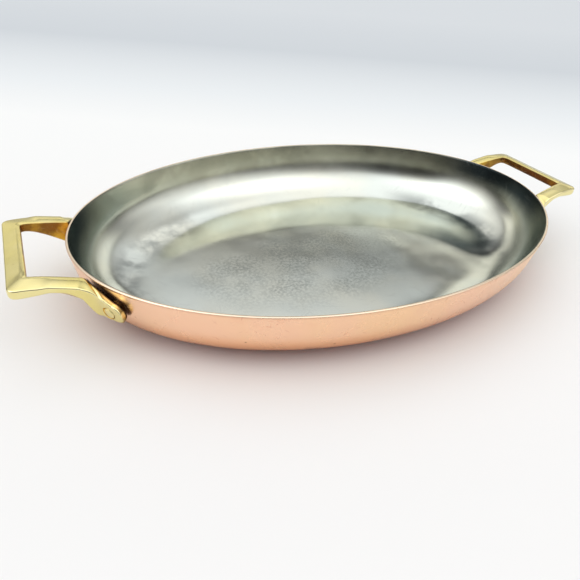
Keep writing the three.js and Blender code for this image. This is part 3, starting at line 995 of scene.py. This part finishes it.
rivet_brass, tree, shader, axes = metal("rivet_brass")
golden = mask(tree, patches, Scale=120, Seed=31, Low=0.4, High=0.6)
color = stain(tree, BRASS, GOLDEN_RIVET, golden)
rivet_scratches = mask(tree, scratches, Scale=2500, Length=10, Least=0.68)
color = stain(tree, color, SCRATCHED_RIVET, rivet_scratches, strength=0.4)
shine = mask(tree, patches, Scale=300, Seed=32)
finish(tree, shader, color, between(tree, shine, 0, 1, *RIVET_ROUGHNESS))

# The profile: the foot, the shank, a quarter round on the head's edge, and a dome as 1 - s^2.
edge_turn = np.linspace(0, np.pi / 2, HEAD_POINTS)
edge_radius = RIVET_HEAD_RADIUS - HEAD_ROUNDING * (1 - np.cos(edge_turn)) - RIVET_BREAK
edge_height = flange_face - HEAD_ROUNDING + HEAD_ROUNDING * np.sin(edge_turn)
dome_share = np.linspace(*DOME_SHARES, DOME_POINTS)
rivet_profile = [
    (DOME_SHARES[1] * RIVET_FOOT_RADIUS, SEAT_GAP),
    (RIVET_FOOT_RADIUS - RIVET_BREAK, SEAT_GAP),
    (RIVET_FOOT_RADIUS, SEAT_GAP + RIVET_BREAK),
    (RIVET_FOOT_RADIUS, FLANGE_STAND_OFF - SEAT_GAP),
    (RIVET_RADIUS, FLANGE_STAND_OFF - SEAT_GAP),
    (RIVET_RADIUS, head_bottom),
    *zip(edge_radius, edge_height),
    *zip(RIVET_HEAD_RADIUS * dome_share, flange_face + RIVET_DOME * (1 - dome_share**2)),
]
for side, sign_x in (("right", 1), ("left", -1)):
    for end, sign_y in (("front", -1), ("back", 1)):
        rivet = spun(f"{end}_{side}_rivet", rivet_profile, sign_x, sign_y)
        rivet.data.set_sharp_from_angle(angle=CREASE_ANGLE)
        rivet.data.materials.append(rivet_brass)
        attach(rivet, "root")
        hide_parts(f"{end}_{side}_stud")

# The floor: a wide sheet of white paper under the pan, which keeps its shadow. It runs on flat behind
# the pan, where painted shade makes the paper a cooler and greyer white.
FLOOR_HALF = 4
FLOOR_LEVEL = -0.0002
AWAY = (0.473, 0.881, 0)  # level, from the viewer to the pan
FAR_AWAY = 2.0  # the paper's painted shade is given along this way behind the pan
PAPER_SHADE_TONES = [
    (0, (0.87, 0.87, 0.87)),
    (0.12, (0.87, 0.88, 0.88)),
    (0.19, (0.77, 0.80, 0.82)),
    (0.34, (0.59, 0.625, 0.66)),
    (0.6, (0.64, 0.67, 0.70)),
]


def color_ramp(tree, share, tones):
    """A colour that follows a share through pairs of a share and a colour."""
    node = add_node(tree, "ValToRGB", Fac=share)
    elements = node.color_ramp.elements
    for where, tone in tones:
        elements.new(where).color = (*tone, 1)
    elements.remove(elements[0])
    elements.remove(elements[-1])
    return node.outputs["Color"]


paper = bpy.data.materials.new("white_paper")
paper.use_nodes = True
tree = paper.node_tree
tree.nodes.clear()
place = add_node(tree, "TexCoord").outputs["Object"]
# Painted shade: the paper turns greyer and cooler away from the pan.
far = add_node(tree, "VectorMath", "DOT_PRODUCT", _0=place, _1=AWAY).outputs["Value"]
far_share = add_node(tree, "MapRange", _0=far, _1=0, _2=FAR_AWAY).outputs[0]
matt = add_node(tree, "BsdfDiffuse", Color=color_ramp(tree, far_share, PAPER_SHADE_TONES))
add_node(tree, "OutputMaterial", Surface=matt.outputs[0])

floor_corners = np.array([(-1, -1, 0), (1, -1, 0), (1, 1, 0), (-1, 1, 0)]) * FLOOR_HALF
floor_mesh = bpy.data.meshes.new("floor")
floor_mesh.from_pydata((floor_corners + [0, 0, FLOOR_LEVEL]).tolist(), [], [(0, 1, 2, 3)])
floor_mesh.materials.append(paper)
floor = bpy.data.objects.new("floor", floor_mesh)
bpy.context.scene.collection.objects.link(floor)

# The light: a wide white ceiling over the table, which fades down the walls, soft windows at both
# sides and three shaded places. Behind the pan a cream screen stands on the table, and a dark gap
# lies between its top and the light from the ceiling. CEILING and SCREEN are pairs of an elevation
# in degrees and a level. WINDOWS and SHADES are spots: azimuth, elevation, reach and level.
CEILING = [(0, 0.14), (10, 0.24), (20, 0.38), (30, 0.60), (40, 1.15), (52, 1.40), (66, 1.50)]
CEILING += [(90, 1.34)]
SCREEN = [(0, 0.50), (10, 0.70), (20, 1.15), (27.8, 1.25), (28.5, 0.05), (30.0, 0.10), (31.5, 0.60)]
SCREEN += [(33, 0.74), (36, 0.90), (45, 1.12), (66, 1.50), (90, 1.34)]
SCREEN_TOP = 28
SCREEN_SIDES = (0.42, 0.72)
CREAM = (1.0, 0.985, 0.90)
WHITE = (1, 1, 1)
BRIGHTEST = 1.50  # the ramps hold levels as shares of this one
DIMMED = 0.84
WINDOWS = [(55, 35, 44, 0.78), (-93, 34, 41, 0.92), (-70, 45, 40, 0.55)]
SHADES = [(-36, 9, 40, 0.15), (-146, 29, 41, 0.95), (95, 39, 33, 0.42)]


def by_height(tree, height, levels, tint=WHITE):
    """Light that follows the sine of the elevation. Under the top of the screen it has the tint."""
    tones = []
    for elevation, level in levels:
        color = tint if elevation < SCREEN_TOP else WHITE
        tone = [part * level / BRIGHTEST for part in color]
        tones.append((math.sin(math.radians(elevation)), tone))
    return color_ramp(tree, height, tones)


def toward(azimuth, elevation):
    """The unit vector at an azimuth, from the front towards the right, and an elevation, in
    degrees."""
    turn, rise = math.radians(azimuth), math.radians(elevation)
    return math.sin(turn) * math.cos(rise), -math.cos(turn) * math.cos(rise), math.sin(rise)


def spot(tree, direction, azimuth, elevation, reach, at_edge, at_middle):
    """A round spot on the walls, from its level at the middle to the one at its reach in degrees."""
    middle = toward(azimuth, elevation)
    nearness = add_node(tree, "VectorMath", "DOT_PRODUCT", _0=direction, _1=middle)
    edge = math.cos(math.radians(reach))
    return between(tree, nearness.outputs["Value"], edge, 1, at_edge, at_middle)


def blended(tree, how, light, other):
    """Two lights added, or one light multiplied by the other."""
    node = add_node(tree, "MixRGB", Fac=1.0, Color1=light, Color2=other)
    node.blend_type = how
    return node.outputs[0]


world = bpy.data.worlds.new("studio")
bpy.context.scene.world = world
world.use_nodes = True
tree = world.node_tree
direction = add_node(tree, "TexCoord").outputs["Generated"]
height = add_node(tree, "SeparateXYZ", _0=direction).outputs["Z"]
light = by_height(tree, height, CEILING)
for *where, level in WINDOWS:
    light = blended(tree, "ADD", light, spot(tree, direction, *where, 0, level / BRIGHTEST))
for *where, level in SHADES:
    light = blended(tree, "MULTIPLY", light, spot(tree, direction, *where, 1, level))
behind = add_node(tree, "VectorMath", "DOT_PRODUCT", _0=direction, _1=AWAY).outputs["Value"]
at_screen = above(tree, behind, *SCREEN_SIDES)
screen = by_height(tree, height, SCREEN, CREAM)
light = add_node(tree, "MixRGB", Fac=at_screen, Color1=light, Color2=screen).outputs[0]
background = tree.nodes["Background"]
tree.links.new(light, background.inputs["Color"])
background.inputs["Strength"].default_value = DIMMED * BRIGHTEST
bpy.context.scene.view_settings.view_transform = "Standard"

# The camera: at the photograph's angle, close in front of the left handle and a little rolled, and
# looking down over the pan.
CAMERA_PLACE = (-0.15624, -0.2490, 0.1777)
CAMERA_AZIMUTH = math.radians(-28.24)
CAMERA_ELEVATION = math.radians(35.06)
CAMERA_ROLL = math.radians(4.48)
CAMERA_CLIP = 0.01
FOCAL_PIXELS = 517.7
FRAME_PIXELS = 580
SENSOR_WIDTH = 36

facing = Matrix.Rotation(CAMERA_AZIMUTH, 4, "Z")
tipped = Matrix.Rotation(math.pi / 2 - CAMERA_ELEVATION, 4, "X")
rolled = Matrix.Rotation(CAMERA_ROLL, 4, "Z")
camera_data = bpy.data.cameras.new("camera")
camera_data.sensor_width = SENSOR_WIDTH
camera_data.lens = FOCAL_PIXELS / FRAME_PIXELS * SENSOR_WIDTH
camera_data.clip_start = CAMERA_CLIP
camera = bpy.data.objects.new("camera", camera_data)
bpy.context.scene.collection.objects.link(camera)
camera.matrix_world = Matrix.Translation(CAMERA_PLACE) @ facing @ tipped @ rolled
bpy.context.scene.camera = camera
